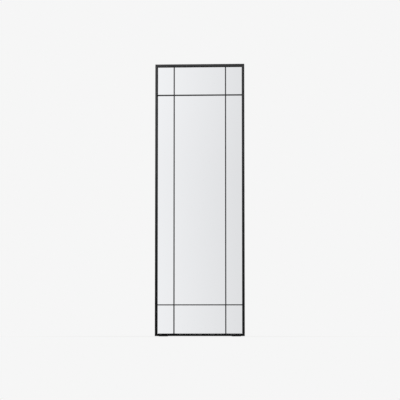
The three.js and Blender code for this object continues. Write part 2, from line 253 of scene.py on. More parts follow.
# %% [markdown]
# ## Silvered glass
# A mirror is clear glass with silver on its back, and grey paint over the silver. Real glass would
# have to be ray traced twice, and the silver is what is seen, so the front is a metal with a slight
# cool tint. It isn't perfectly even: float glass has long faint waves, and a wiped surface has a
# trace of haze. The ground edges show the green of the glass, and the back shows the paint. Where
# the surface lies tells which of the three it is.

# %% Silvered glass
glass_front_y, glass_back_y = span("mirror_glass", "y")
glass_skin = 0.1 * MM


def silvered_glass():
    tree, place = material_tree("silvered_glass")
    depth = tree.parts(place)[1]
    is_silver = 1 - tree.ramp(depth, glass_front_y, glass_front_y + glass_skin)
    is_paint = tree.ramp(depth, glass_back_y - glass_skin, glass_back_y)
    wave = tree.noise(tree.stretch(place, (1.0, 1.0, 0.45)), 320 * MM, detail=1.0)
    haze = tree.noise(place, 60 * MM, detail=4.0)
    edge_or_paint = tree.blend(is_paint, (0.022, 0.05, 0.042, 1), (0.16, 0.17, 0.18, 1))
    return tree.surface(
        Base_Color=tree.blend(is_silver, edge_or_paint, (0.955, 0.965, 0.985, 1)),
        Metallic=is_silver,
        Roughness=is_silver * (0.006 + 0.02 * haze) + (1 - is_silver) * 0.6,
        Normal=tree.bump(wave, 0.03 * MM, strength=0.25),
    )


mirror_finish = silvered_glass()
print("made", mirror_finish.name, "from y", round(glass_front_y, 4), "to", round(glass_back_y, 4))

# %% [markdown]
# ## Hardboard
# The backing is pressed wood fibre. Its face is brown with short darker and paler fibres that lie
# every way, a few dark specks of bark, and the fine print of the wire screen that it was pressed
# on. Stretched noises turned against each other give the fibres, and two waves give the screen.

# %% Hardboard
screen_pitch = 1.6 * MM


def hardboard():
    tree, place = material_tree("hardboard")
    across, _, along = tree.parts(place)
    bent = tree.wander(place, 9 * MM, 14 * MM)
    fibres_one = tree.noise(tree.stretch(bent, (1.0, 1.0, 0.22)), 0.8 * MM, detail=4.0)
    fibres_two = tree.noise(tree.stretch(bent, (0.22, 1.0, 1.0)), 0.8 * MM, detail=4.0)
    cloud = tree.noise(place, 70 * MM, detail=5.0, roughness=0.6)
    bark = tree.ramp(tree.noise(place, 3.5 * MM, detail=2.0), 0.7, 0.78)
    turns = 2 * math.pi / screen_pitch
    screen = 0.5 + 0.25 * (tree.math("SINE", across * turns) + tree.math("SINE", along * turns))
    fibre = 0.5 * (fibres_one + fibres_two)
    board = tree.blend(tree.ramp(fibre, 0.35, 0.65), (0.115, 0.062, 0.033, 1), (0.30, 0.19, 0.11, 1))
    clouded = tree.blend(tree.ramp(cloud, 0.25, 0.75), board, (0.21, 0.125, 0.070, 1))
    return tree.surface(
        Base_Color=tree.blend(bark, clouded, (0.055, 0.032, 0.02, 1)),
        Roughness=0.72 + 0.2 * fibre,
        Specular_IOR_Level=0.3,
        Normal=tree.bump(0.6 * fibre + 0.4 * screen, 0.12 * MM, strength=0.6),
    )


board_finish = hardboard()
print("made", board_finish.name)

# %% [markdown]
# ## Zinc plate, rubber and foam tape
# Clips, screws and hangers are pressed steel with a thin coat of zinc: a bright, slightly blue
# metal with cloudy crystals and fine tumbling scratches. Bumpers, pads and blocks are dull black
# rubber with a slight bloom. The tape is white closed-cell foam, whose cut edge is full of bubbles.

# %% Zinc, rubber and foam
def zinc_plate():
    tree, place = material_tree("zinc_plate")
    cloud = tree.noise(place, 9 * MM, detail=4.0, roughness=0.6)
    scratch = tree.noise(tree.stretch(place, (1.0, 1.0, 0.08)), 0.25 * MM, detail=2.0)
    tint = tree.blend(tree.ramp(cloud, 0.3, 0.7), (0.42, 0.44, 0.47, 1), (0.56, 0.56, 0.55, 1))
    return tree.surface(
        Base_Color=tint,
        Metallic=1.0,
        Roughness=0.24 + 0.14 * cloud + 0.08 * scratch,
        Normal=tree.bump(scratch, 0.01 * MM, strength=0.35),
    )


def black_rubber():
    tree, place = material_tree("black_rubber")
    bloom = tree.noise(place, 6 * MM, detail=5.0, roughness=0.65)
    grain = tree.noise(place, 0.35 * MM, detail=2.0)
    colour = tree.blend(tree.ramp(bloom, 0.35, 0.75), (0.018, 0.018, 0.018, 1), (0.035, 0.034, 0.033, 1))
    return tree.surface(
        Base_Color=colour,
        Roughness=0.62 + 0.2 * bloom + 0.08 * grain,
        Specular_IOR_Level=0.35,
        Normal=tree.bump(grain, 0.04 * MM, strength=0.5),
    )


def foam_tape():
    tree, place = material_tree("foam_tape")
    bubbles = tree.noise(place, 0.3 * MM, detail=1.0)
    colour = tree.blend(tree.ramp(bubbles, 0.3, 0.7), (0.62, 0.61, 0.57, 1), (0.84, 0.83, 0.80, 1))
    return tree.surface(
        Base_Color=colour,
        Roughness=0.85 + 0.1 * bubbles,
        Normal=tree.bump(bubbles, 0.08 * MM, strength=0.7),
    )


zinc = zinc_plate()
rubber = black_rubber()
foam = foam_tape()
print("made", zinc.name, rubber.name, foam.name)

# %% [markdown]
# ## Lofts
# Many pieces here are one section carried along a path: the tube along the frame, folded sheet
# along its bends, a pad from its foot to its top. So one helper joins rings with equally many points
# into a closed skin. Edges that turn by more than an angle stay sharp, the rest is smooth.

# %% Helpers that make meshes
SHARP_ANGLE = math.radians(32)


def shaded(mesh):
    """Smooth shading that keeps the sharp corners."""
    mesh.polygons.foreach_set("use_smooth", [True] * len(mesh.polygons))
    mesh.set_sharp_from_angle(angle=SHARP_ANGLE)
    return mesh


def linked(name, data, material=None):
    obj = bpy.data.objects.new(name, data)
    bpy.context.scene.collection.objects.link(obj)
    if material:
        data.materials.append(material)
    return obj


def outward_mesh(name, form):
    """The mesh of a closed bmesh, with all its faces turned outwards."""
    bmesh.ops.recalc_face_normals(form, faces=form.faces)
    mesh = bpy.data.meshes.new(name)
    form.to_mesh(mesh)
    form.free()
    return mesh


def quarter_circle(steps):
    """The angles of a quarter circle, from 0 to a right angle."""
    return [step / steps * math.pi / 2 for step in range(steps + 1)]


def loft(name, rings, closed=False):
    """A mesh through rings of points. It ends in caps, or closes on itself."""
    form = bmesh.new()
    loops = [[form.verts.new(point) for point in ring] for ring in rings]
    count = len(loops[0])
    following = loops[1:] + loops[:1] if closed else loops[1:]
    for near, far in zip(loops, following):
        for index in range(count):
            after = (index + 1) % count
            form.faces.new((near[index], near[after], far[after], far[index]))
    if not closed:
        form.faces.new(loops[0])
        form.faces.new(loops[-1])
    return shaded(outward_mesh(name, form))


def rounded_section(width, height, radius, steps, hold):
    """Points of a round-cornered rectangle about its middle. Unless hold is 0, a point that far
    beside each corner holds the flat sides flat under smooth shading."""
    points = []
    for quarter in range(4):
        turn = quarter * math.pi / 2
        reach = (width, height) if quarter % 2 == 0 else (height, width)
        corner = Vector((reach[0] / 2 - radius, reach[1] / 2 - radius))
        spokes = [Vector((math.cos(angle), math.sin(angle))) for angle in quarter_circle(steps)]
        local = [corner + radius * spoke for spoke in spokes]
        if hold:
            local.insert(0, Vector((corner.x + radius, corner.y - hold)))
            local.append(Vector((corner.x - hold, corner.y + radius)))
        cosine, sine = math.cos(turn), math.sin(turn)
        points += [(p.x * cosine - p.y * sine, p.x * sine + p.y * cosine) for p in local]
    return points


def plain_mesh(obj):
    """Turns an object with modifiers into a plain mesh without them."""
    graph = bpy.context.evaluated_depsgraph_get()
    mesh = bpy.data.meshes.new_from_object(obj.evaluated_get(graph))
    obj.modifiers.clear()
    obj.data = mesh
    mesh.name = obj.name
    return obj


def told(obj):
    print(obj.name, "has", len(obj.data.polygons), "faces")
    return obj


print("mesh helpers are ready")

# %% [markdown]
# ## The welded frame
# Four lengths of rectangular tube are cut at 45 degrees, welded, ground flush and coated, so the
# eye sees one frame with a faint line at each mitre. It is lofted as one closed ring: the tube's
# section stands at every corner, where each of its points lies as far in along the diagonal as it
# lies from the outer side. Two rings on either side of the weld hold the long sides straight, and
# the one on the mitre is drawn in by a hair, which makes the ground weld. A curve with this section
# as its bevel would have no place for the weld.

# %% Welded frame
tube_radius = 2 * MM
weld_width = 0.9 * MM
weld_depth = 0.2 * MM
flat_hold = 0.6 * MM


def tube_ring(corner, inward, along, shrink):
    """The tube's section at a corner of the frame, moved along the tube."""
    sizes = (tube_face - 2 * shrink, tube_depth - 2 * shrink, tube_radius)
    section = rounded_section(*sizes, steps=6, hold=flat_hold)
    middle_y = (front_y + back_y) / 2
    points = []
    for side, depth in section:
        inset = side + tube_face / 2
        x = corner[0] + inward[0] * inset + along[0]
        z = corner[1] + inward[1] * inset + along[1]
        points.append(Vector((x, middle_y + depth, z)))
    return points


def welded_frame():
    """Goes up the left stile, along the top, down the right stile and back along the bottom."""
    left, right, bottom, top = frame_left, frame_right, frame_bottom, frame_top
    # Each corner has its place, the way inwards, the way back and the way ahead.
    corners = [
        ((left, bottom), (1, 1), (1, 0), (0, 1)),
        ((left, top), (1, -1), (0, -1), (1, 0)),
        ((right, top), (-1, -1), (-1, 0), (0, -1)),
        ((right, bottom), (-1, 1), (0, 1), (-1, 0)),
    ]
    rings = []
    for corner, inward, back, ahead in corners:
        for direction, distance in ((back, 2), (back, 1), (ahead, 0), (ahead, 1), (ahead, 2)):
            along = (direction[0] * distance * weld_width, direction[1] * distance * weld_width)
            rings.append(tube_ring(corner, inward, along, 0 if distance else weld_depth))
    return linked("welded_frame", loft("welded_frame", rings, closed=True), powder_coat)


steel_frame = told(welded_frame())
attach(steel_frame, "mirror")
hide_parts("left_stile", "right_stile", "top_rail", "bottom_rail")

# %% [markdown]
# ## Geometry Nodes
# A tree of Geometry Nodes is a recipe with named inputs. It suits what follows a rule: the grid of
# bars, the copies of screws and clips, the wire of a ring. Each tree here ends by making instances
# real and giving them their material. Then the result is kept as a plain mesh, without a modifier.

# %% A tree for geometry
class GeometryTree(NodeTree):
    """A Geometry Nodes group with named inputs and one output."""

    def __init__(self, name, **inputs):
        self.group = bpy.data.node_groups.new(name, "GeometryNodeTree")
        self.group.is_modifier = True
        super().__init__(self.group)
        for label, kind in inputs.items():
            label = label.replace("_", " ")
            self.group.interface.new_socket(label, in_out="INPUT", socket_type=f"NodeSocket{kind}")
        self.group.interface.new_socket("Result", in_out="OUTPUT", socket_type="NodeSocketGeometry")
        sockets = self.nodes.new("NodeGroupInput").outputs
        self.given = {socket.name: Wire(self, socket) for socket in sockets if socket.name}

    def done(self, geometry):
        """Closes the recipe, and returns the group."""
        real = self.add("GeometryNodeRealizeInstances", sockets={"Geometry": geometry})
        sockets = {"Geometry": real, "Material": self.given["Finish"]}
        finished = self.add("GeometryNodeSetMaterial", sockets=sockets)
        self.links.new(finished.socket, self.nodes.new("NodeGroupOutput").inputs["Result"])
        print(self.group.name, "has", len(self.nodes), "nodes")
        return self.group


def grown(obj, group, values):
    """Runs a Geometry Nodes group on an object and keeps the result as its plain mesh."""
    modifier = obj.modifiers.new(group.name, "NODES")
    modifier.node_group = group
    for item in group.interface.items_tree:
        if item.in_out == "INPUT" and item.name in values:
            modifier[item.identifier] = values[item.name]
    slots = plain_mesh(obj).data.materials
    if slots[0] is None:
        slots.pop(index=0)
    return obj


print("geometry helpers are ready")

# %% [markdown]
# ## The glazing bars
# Two uprights and two level bars are half-lapped where they cross and welded into the frame, so
# after coating they are one grid. Its recipe starts as a plain grid of six lines by six, which is
# moved to the edges of the bars: counted from either side, the first line is at the frame, the
# second lies a pane further in and the third the width of a bar further. Every second cell is a
# pane and is deleted. What is left is extruded forward and closed behind. The edges in front that
# lie beside a pane are marked, and a Bevel modifier rounds only these. Four boxes would be less
# work, but they would run through each other at the crossings.

# %% Glazing grid
bar_radius = 0.8 * MM
grid_lines = 6
merge_distance = 0.01 * MM


def line_place(tree, line, reach, pane, bar):
    """Where a line of the grid lies, from its number, half the grid's size and the gaps."""
    steps_in = tree.math("MINIMUM", line, (grid_lines - 1) - line)
    beside_pane = tree.math("MINIMUM", steps_in, 1.0)
    beside_bar = tree.math("MAXIMUM", steps_in - 1, 0.0)
    side = tree.math("SIGN", line - (grid_lines - 1) / 2)
    return side * (reach - pane * beside_pane - bar * beside_bar)


def glazing_tree():
    tree = GeometryTree(
        "glazing_grid", Half_width="Float", Half_height="Float", Side_pane="Float", End_pane="Float",
        Bar_width="Float", Bar_depth="Float", Middle="Vector", Finish="Material",
    )
    given = tree.given
    index = tree.add("GeometryNodeInputIndex")
    counts = {"Vertices X": grid_lines, "Vertices Y": grid_lines}
    grid = tree.add("GeometryNodeMeshGrid", sockets=counts, output="Mesh")
    column = tree.math("FLOOR", tree.math("DIVIDE", index, grid_lines))
    row = tree.math("MODULO", index, grid_lines)
    x = line_place(tree, column, given["Half width"], given["Side pane"], given["Bar width"])
    z = line_place(tree, row, given["Half height"], given["End pane"], given["Bar width"])
    flat = tree.add("ShaderNodeCombineXYZ", sockets={"X": x, "Y": 0.5 * given["Bar depth"], "Z": z})
    placed = tree.add("GeometryNodeSetPosition", sockets={"Geometry": grid, "Position": flat})

    cell_column = tree.math("FLOOR", tree.math("DIVIDE", index, grid_lines - 1))
    cell_row = tree.math("MODULO", index, grid_lines - 1)
    is_bar = tree.math("MAXIMUM", tree.math("MODULO", cell_column, 2), tree.math("MODULO", cell_row, 2))
    panes_out = {"Geometry": placed, "Selection": 1 - is_bar}
    back = tree.add("GeometryNodeDeleteGeometry", {"domain": "FACE"}, panes_out)
    forward = tree.add("ShaderNodeCombineXYZ", sockets={"Y": -1 * given["Bar depth"]})
    pushed = {"Mesh": back, "Offset": forward, "Offset Scale": 1.0, "Individual": False}
    front = tree.add("GeometryNodeExtrudeMesh", {"mode": "FACES"}, pushed, "Mesh")
    closing = tree.add("GeometryNodeFlipFaces", sockets={"Mesh": back})
    joined = tree.add("GeometryNodeJoinGeometry", sockets={"Geometry": front})
    tree.links.new(closing.socket, joined.socket.node.inputs["Geometry"])
    closed = {"Geometry": joined, "Distance": merge_distance}
    solid = tree.add("GeometryNodeMergeByDistance", sockets=closed)

    place_x, place_y, place_z = tree.parts(tree.add("GeometryNodeInputPosition"))
    out_x, out_z = tree.math("ABSOLUTE", place_x), tree.math("ABSOLUTE", place_z)
    is_corner = tree.math("GREATER_THAN", tree.add("GeometryNodeInputMeshEdgeAngle"), SHARP_ANGLE)
    is_front = tree.math("LESS_THAN", place_y, -0.25 * given["Bar depth"])
    clear_of_stile = tree.math("LESS_THAN", out_x, given["Half width"] - bar_radius)
    clear_of_rail = tree.math("LESS_THAN", out_z, given["Half height"] - bar_radius)
    marks = is_corner * is_front * clear_of_stile * clear_of_rail
    marked = tree.add(
        "GeometryNodeStoreNamedAttribute",
        {"data_type": "FLOAT", "domain": "EDGE"},
        {"Geometry": solid, "Name": "bevel_weight_edge", "Value": marks},
    )
    moved = {"Geometry": marked, "Offset": given["Middle"]}
    return tree.done(tree.add("GeometryNodeSetPosition", sockets=moved))


def glazing_grid():
    inner_left, inner_right = span("lower_glazing_bar", "x")
    inner_bottom, inner_top = span("left_glazing_bar", "z")
    bar_front, bar_back = span("left_glazing_bar", "y")
    upright_left, upright_right = span("left_glazing_bar", "x")
    grid = linked("glazing_grid", bpy.data.meshes.new("glazing_grid"))
    grown(grid, glazing_tree(), {
        "Half width": (inner_right - inner_left) / 2,
        "Half height": (inner_top - inner_bottom) / 2,
        "Side pane": upright_left - inner_left,
        "End pane": span("lower_glazing_bar", "z")[0] - inner_bottom,
        "Bar width": upright_right - upright_left,
        "Bar depth": bar_back - bar_front,
        "Middle": (0.0, (bar_front + bar_back) / 2, (inner_bottom + inner_top) / 2),
        "Finish": powder_coat,
    })
    bevel = grid.modifiers.new("Round front edges", "BEVEL")
    bevel.limit_method = "WEIGHT"
    bevel.width = bar_radius
    bevel.segments = 4
    plain_mesh(grid)
    shaded(grid.data)
    evened = grid.modifiers.new("Flat faces", "WEIGHTED_NORMAL")
    evened.keep_sharp = True
    return plain_mesh(grid)


bars = told(glazing_grid())
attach(bars, "mirror")
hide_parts("left_glazing_bar", "right_glazing_bar", "lower_glazing_bar", "upper_glazing_bar")

# %% [markdown]
# ## The sheets and what is between them
# The glass with its ground arris, the board with its snipped corners, the tape and the setting
# blocks already have their true shape in the CAD model. They keep it and only get their finish.

# %% Finish the CAD nodes that stay
def dress(names, material):
    for name in names:
        materials = frame["nodes"][name].data.materials
        materials.clear()
        materials.append(material)


tapes = [f"mirror_tape_{place}" for place in ("left", "centre", "right")]
blocks = [f"setting_block_{hand}" for hand in hands]
dress(["mirror_glass"], mirror_finish)
dress(["backing_board"], board_finish)
dress(tapes, foam)
dress(blocks, rubber)
print("dressed", 2 + len(tapes) + len(blocks), "CAD nodes")

# %% [markdown]
# ## Copies
# Clips, screws, bumpers and pads repeat. Each is modelled once, as a template, and a Geometry Nodes
# tree puts it on every vertex of a small mesh of seats. An attribute says how far each copy is
# turned about the Y axis, and a spread adds a random turn, because no one lines up screw slots.

# %% A tree that places copies
def copies_tree():
    tree = GeometryTree(
        "placed_copies", Seats="Geometry", Template="Object", Turn_spread="Float", Seed="Int",
        Finish="Material",
    )
    given = tree.given
    shape = {"Object": given["Template"]}
    template = tree.add("GeometryNodeObjectInfo", sockets=shape, output="Geometry")
    number = {"data_type": "FLOAT"}
    turn = tree.add("GeometryNodeInputNamedAttribute", number, {"Name": "turn"}, "Attribute")
    # A random number has its lowest and highest value on sockets 2 and 3, and comes out of 1.
    either_way = {2: -1.0, 3: 1.0, "Seed": given["Seed"]}
    chance = tree.add("FunctionNodeRandomValue", number, either_way, 1)
    angles = tree.add("ShaderNodeCombineXYZ", sockets={"Y": turn + chance * given["Turn spread"]})
    sockets = {"Points": given["Seats"], "Instance": template, "Rotation": angles}
    return tree.done(tree.add("GeometryNodeInstanceOnPoints", sockets=sockets))


placed_copies = copies_tree()


def copies(name, template, seats, material, spread=0.0, seed=1):
    """One plain mesh of a template's copies. A seat is a point and a turn about Y."""
    points = bpy.data.meshes.new(name)
    points.from_pydata([point for point, _ in seats], [], [])
    turns = points.attributes.new("turn", "FLOAT", "POINT")
    turns.data.foreach_set("value", [turn for _, turn in seats])
    values = {"Template": template, "Turn spread": spread, "Seed": seed, "Finish": material}
    obj = grown(linked(name, points), placed_copies, values)
    bpy.data.objects.remove(template)
    return told(obj)


def seat(node, y=None, z=None, turn=0.0):
    """A seat in the middle of a CAD node, or at the y or z that is given."""
    low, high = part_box(node)
    middle = (low + high) / 2
    return (middle.x, middle.y if y is None else y, middle.z if z is None else z), turn


# %% [markdown]
# ## Folded strip
# Clips and hangers are both pressed from strip. A bent sheet with a Solidify modifier would have
# square edges. So a thin section with round edges is lofted along the folded line, and its width may
# change from point to point.

# %% Helpers for folded strip
def filleted(points, radius, steps):
    """A bent line through points, with each corner inside it rounded by an arc."""
    line = [points[0]]
    for before, corner, after in zip(points, points[1:], points[2:]):
        arriving = (corner - before).normalized()
        leaving = (after - corner).normalized()
        half = arriving.angle(leaving) / 2
        setback = radius * math.tan(half)
        start = corner - arriving * setback
        centre = corner + (leaving - arriving).normalized() * (radius / math.cos(half))
        for step in range(steps + 1):
            turn = (2 * step / steps) * half
            spoke = (start - centre) * math.cos(turn) + arriving * (radius * math.sin(turn))
            line.append(centre + spoke)
    return line + [points[-1]]


def strip(name, line, half_widths, sheet, edge_radius, in_room):
    """Sheet along a line in a plane. in_room(point, side) is where a point of the sheet lies."""
    rings = []
    for index, (point, half) in enumerate(zip(line, half_widths)):
        before, after = line[max(index - 1, 0)], line[min(index + 1, len(line) - 1)]
        along = (after - before).normalized()
        out = Vector((-along.y, along.x))
        section = rounded_section(2 * half, sheet, min(edge_radius, half / 2), steps=2, hold=0)
        rings.append([in_room(point + rise * out, side) for side, rise in section])
    return loft(name, rings)


print("strip helpers are ready")

# %% [markdown]
# ## Board clips
# An offset clip is a strip of folded steel: its heel is screwed to the tube, and its foot steps down
# through the depth of the frame and presses on the board. The strip gets narrower at both ends in a
# quarter circle, which rounds its corners.

# %% Board clips
clip_sheet = 1.2 * MM
clip_width = 14 * MM
clip_corner = 2.5 * MM
clip_edge = 0.25 * MM
clip_gap = 0.3 * MM
clip_joggle = 1.5 * MM
clip_bend = 1.4 * MM
clip_places = ["left_lower", "left_middle", "left_upper", "top_left", "top_right"]
clip_places += ["right_upper", "right_middle", "right_lower", "bottom_right", "bottom_left"]


def clip_line():
    """The middle line of a clip from heel to foot, with the screw at 0 and the tube's back at 0."""
    heel, foot = [x - (frame_left + tube_face / 2) for x in span("board_clip_left_lower", "x")]
    step = back_y - board_back_y
    slope = math.atan2(step, clip_joggle)
    shift = clip_sheet * math.tan(slope / 2) / 2
    rise = tube_face / 2 + clip_gap + shift
    top = clip_sheet / 2
    bends = [(heel, top), (rise, top), (rise + clip_joggle, top - step), (foot, top - step)]
    return filleted([Vector(point) for point in bends], clip_bend, steps=6)


def clip_template():
    line = clip_line()
    angles = quarter_circle(steps=5)
    runs = [clip_corner * (1 - math.cos(angle)) for angle in angles]
    halves = [clip_width / 2 - clip_corner * (1 - math.sin(angle)) for angle in angles]
    heel_end = [line[0] + Vector((run, 0)) for run in runs]
    foot_end = [line[-1] - Vector((run, 0)) for run in reversed(runs)]
    bent = line[1:-1]
    widths = halves + [clip_width / 2] * len(bent) + halves[::-1]

    def in_room(point, side):
        return Vector((point.x, point.y, side))

    mesh = strip("clip", heel_end + bent + foot_end, widths, clip_sheet, clip_edge, in_room)
    return linked("clip_template", mesh)


def clip_seat(place):
    """A seat on the tube, turned so that the clip's foot points to the middle of the board."""
    side = place.split("_")[0]
    quarter = ["left", "top", "right", "bottom"].index(side)
    return seat(f"clip_screw_{place}", y=back_y, turn=quarter * math.pi / 2)


clip_seats = [clip_seat(place) for place in clip_places]
clips = copies("board_clips", clip_template(), clip_seats, zinc)
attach(clips, "mirror")
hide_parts(*[f"board_clip_{place}" for place in clip_places])

# %% [markdown]
# ## Screws
# Fourteen pan-head screws hold the clips and the hangers. The head is a low dome, turned from a
# profile and closed at its pole. Its recess is a cross of two tapered bars, cut out with a Boolean
# modifier, where a bump would only fake it. All copies share this one template.

# %% Screws
screw_shank = 1.75 * MM
screw_length = 9 * MM
screw_tip = 2.5 * MM
screw_head = 3.4 * MM
screw_rise = 2.2 * MM
screw_rim = 0.7 * MM
screw_edge = 0.15 * MM
recess_width = 0.9 * MM
recess_span = 3.6 * MM
recess_depth = 1.5 * MM
recess_margin = 1 * MM


def turned(name, profile, side_count):
    """A solid turned about Y from a profile of radius and height, closed at both poles."""
    form = bmesh.new()
    angles = [2 * math.pi * side / side_count for side in range(side_count)]
    rings = []
    for radius, height in profile:
        circle = [(radius * math.cos(angle), height, radius * math.sin(angle)) for angle in angles]
        rings.append([form.verts.new(point) for point in (circle if radius else circle[:1])])
    for near, far in zip(rings, rings[1:]):
        for side in range(side_count):
            after = (side + 1) % side_count
            corners = [near[side % len(near)], near[after % len(near)]]
            corners += [far[after % len(far)], far[side % len(far)]]
            form.faces.new(list(dict.fromkeys(corners)))
    return shaded(outward_mesh(name, form))


def recess_cutter():
    """A cross of two bars that narrow towards the bottom of the recess."""
    form = bmesh.new()
    top = (screw_rise + recess_margin, recess_span, recess_width)
    bottom = (screw_rise - recess_depth, recess_span / 3, recess_width / 2)
    for along_x in (True, False):
        corners = []
        for height, length, width in (bottom, top):
            for side_a, side_b in ((-1, -1), (1, -1), (1, 1), (-1, 1)):
                a, b = side_a * length / 2, side_b * width / 2
                corners.append(form.verts.new((a, height, b) if along_x else (b, height, a)))
        for face in ((0, 1, 2, 3), (4, 5, 6, 7), (0, 1, 5, 4), (1, 2, 6, 5), (2, 3, 7, 6), (3, 0, 4, 7)):
            form.faces.new([corners[index] for index in face])
    return linked("recess", outward_mesh("recess", form))


def screw_template():
    profile = [(0, -screw_length), (screw_shank, screw_tip - screw_length), (screw_shank, 0)]
    profile += [(screw_head - screw_edge, 0), (screw_head, screw_edge)]
    for angle in quarter_circle(steps=7)[:-1]:
        height = screw_rim + (screw_rise - screw_rim) * math.sin(angle)
        profile.append((screw_head * math.cos(angle), height))
    profile.append((0, screw_rise))
    screw = linked("screw_template", turned("screw", profile, side_count=32))
    cutter = recess_cutter()
    cut = screw.modifiers.new("Cross recess", "BOOLEAN")
    cut.operation = "DIFFERENCE"
    cut.solver = "EXACT"
    cut.use_self = True
    cut.object = cutter
    plain_mesh(screw)
    bpy.data.objects.remove(cutter)
    shaded(screw.data)
    return screw


screw_names = [f"clip_screw_{place}" for place in clip_places]
screw_names += [f"hanger_screw_{hand}_{level}" for hand in hands for level in ("lower", "upper")]
screw_seats = [seat(name, y=span(name, "y")[1] - screw_rise) for name in screw_names]
screws = copies("pan_head_screws", screw_template(), screw_seats, zinc, spread=math.pi, seed=7)
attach(screws, "mirror")
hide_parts(*screw_names)

# %% [markdown]
# ## Strap hangers
# Each hanger is one strip of sheet, folded double round the wire of its ring, so that it makes a
# barrel at the bottom and two layers above it. The line of the strip is followed once: down the
# back layer, round the wire, and up the front layer. Its width follows the height, narrow at the
# barrel and round at the top, so both layers get the same outline. Two plates joined to a tube
# would not show the fold.

# %% Strap hangers
strap_sheet = 1 * MM
wire_radius = 1.25 * MM
wire_clearance = 0.2 * MM
strap_wide = 6 * MM
strap_narrow = 4.5 * MM
strap_edge = 0.2 * MM
shoulder_start = 5 * MM
shoulder_rise = 4 * MM
flat_middle = 15 * MM
landing_margin = 0.5 * MM
barrel_middle = wire_radius + wire_clearance + strap_sheet / 2
ring_joint = next(joint for joint in frame["joints"] if joint["name"] == "left_ring_swing")
ring_axis_y, ring_axis_z = ring_joint["pos_m"][1:]
strap_top = span("strap_hanger_left", "z")[1] - ring_axis_z


def strap_half_width(height):
    """Half the strap's width at a height above the middle of the wire."""
    shoulder = min(max((height - shoulder_start) / shoulder_rise, 0), 1)
    half = strap_narrow + (strap_wide - strap_narrow) * shoulder
    crown = height - (strap_top - strap_wide)
    return half if crown <= 0 else math.sqrt(max(strap_wide**2 - crown**2, 0))


def strap_line():
    """The strip's middle line, out from the tube's back and up from the middle of the wire."""
    back = -barrel_middle
    front = back + strap_sheet
    turn_end = math.pi / 3
    crown_angles = [math.radians(angle) for angle in range(84, 0, -12)]
    crown = [strap_top - strap_wide * (1 - math.sin(angle)) for angle in crown_angles]
    shoulder = [shoulder_start + shoulder_rise * share for share in (1, 0.5, 0, -0.5)]
    heights = crown + [strap_top - strap_wide, flat_middle] + shoulder
    down = [Vector((back, height)) for height in heights]
    arc_steps, landing_steps = 24, 8
    angles = [math.pi + step / arc_steps * (math.pi + turn_end) for step in range(arc_steps + 1)]
    arc = [barrel_middle * Vector((math.cos(angle), math.sin(angle))) for angle in angles]
    leave, tangent = arc[-1], Vector((-math.sin(turn_end), math.cos(turn_end)))
    meet = leave + tangent * ((leave.x - front) / math.sin(turn_end))
    landing = Vector((front, 2 * meet.y - leave.y))
    closing = []
    for step in range(1, landing_steps + 1):
        t = step / landing_steps
        closing.append(leave * (1 - t) ** 2 + meet * (2 * t * (1 - t)) + landing * t**2)
    above = [height for height in reversed(heights) if height > landing.y + landing_margin]
    return down + arc + closing + [Vector((front, height)) for height in above]


def strap_hanger(hand, x):
    line = strap_line()
    widths = [strap_half_width(point.y) for point in line]

    def in_room(point, side):
        return Vector((x + side, ring_axis_y + point.x, ring_axis_z + point.y))

    name = f"folded_strap_{hand}"
    mesh = strip(name, line, widths, strap_sheet, strap_edge, in_room)
    return told(linked(name, mesh, zinc))


for hand, sign in hands.items():
    strap = strap_hanger(hand, sign * stile_middle)
    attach(strap, "mirror")
    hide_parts(f"strap_hanger_{hand}")

# %% [markdown]
# ## Hanger rings
# A ring is round wire bent to a D, whose two ends meet inside the barrel. It is the one piece that
# moves, so each ring is a mesh of its own that rides on its own body. Half of the wire's line is
# worked out, from the barrel to the bottom of the bow, and the other half is its reflection. A
# Geometry Nodes tree turns the line into a curve and carries a circle along it. That keeps the wire
# round in every bend, where a bent cylinder would go flat.

# %% Hanger rings
ring_left, ring_right = span("hanger_ring_left", "x")
ring_half = (ring_right - ring_left) / 2 - wire_radius
barrel_half = 4.5 * MM
wire_gap_half = 0.3 * MM
ring_bend = ring_half - barrel_half
ring_side = 5 * MM
wire_sides = 20


def ring_line():
    """The wire's middle line as seen from behind, from one end in the barrel to the other."""
    half = [Vector((wire_gap_half, 0)), Vector((barrel_half / 2, 0))]
    for angle in quarter_circle(steps=8):
        drop = ring_bend * (1 - math.cos(angle))
        half.append(Vector((barrel_half + ring_bend * math.sin(angle), -drop)))
    half.append(Vector((ring_half, -ring_bend - ring_side / 2)))
    for angle in quarter_circle(steps=20)[:-1]:
        drop = ring_bend + ring_side + ring_half * math.sin(angle)
        half.append(Vector((ring_half * math.cos(angle), -drop)))
    bottom = Vector((0, -(ring_bend + ring_side + ring_half)))
    return half + [bottom] + [Vector((-point.x, point.y)) for point in reversed(half)]


def wire_tree():
    inputs = {"Line": "Geometry", "Radius": "Float", "Sides": "Int", "Finish": "Material"}
    tree = GeometryTree("wire_on_a_line", **inputs)
    curve = tree.add("GeometryNodeMeshToCurve", sockets={"Mesh": tree.given["Line"]})
    sizes = {"Resolution": tree.given["Sides"], "Radius": tree.given["Radius"]}
    circle = tree.add("GeometryNodeCurvePrimitiveCircle", {"mode": "RADIUS"}, sizes)
    sweep = {"Curve": curve, "Profile Curve": circle, "Fill Caps": True}
    return tree.done(tree.add("GeometryNodeCurveToMesh", sockets=sweep))


wire_on_a_line = wire_tree()


def hanger_ring(hand, x):
    points = [(x + point.x, ring_axis_y, ring_axis_z + point.y) for point in ring_line()]
    name = f"wire_ring_{hand}"
    mesh = bpy.data.meshes.new(name)
    mesh.from_pydata(points, [(index, index + 1) for index in range(len(points) - 1)], [])
    values = {"Radius": wire_radius, "Sides": wire_sides, "Finish": zinc}
    ring = grown(linked(name, mesh), wire_on_a_line, values)
    shaded(ring.data)
    return told(ring)


for hand, sign in hands.items():
    wire_ring = hanger_ring(hand, sign * stile_middle)
    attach(wire_ring, f"{hand}_ring")
    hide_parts(f"hanger_ring_{hand}")

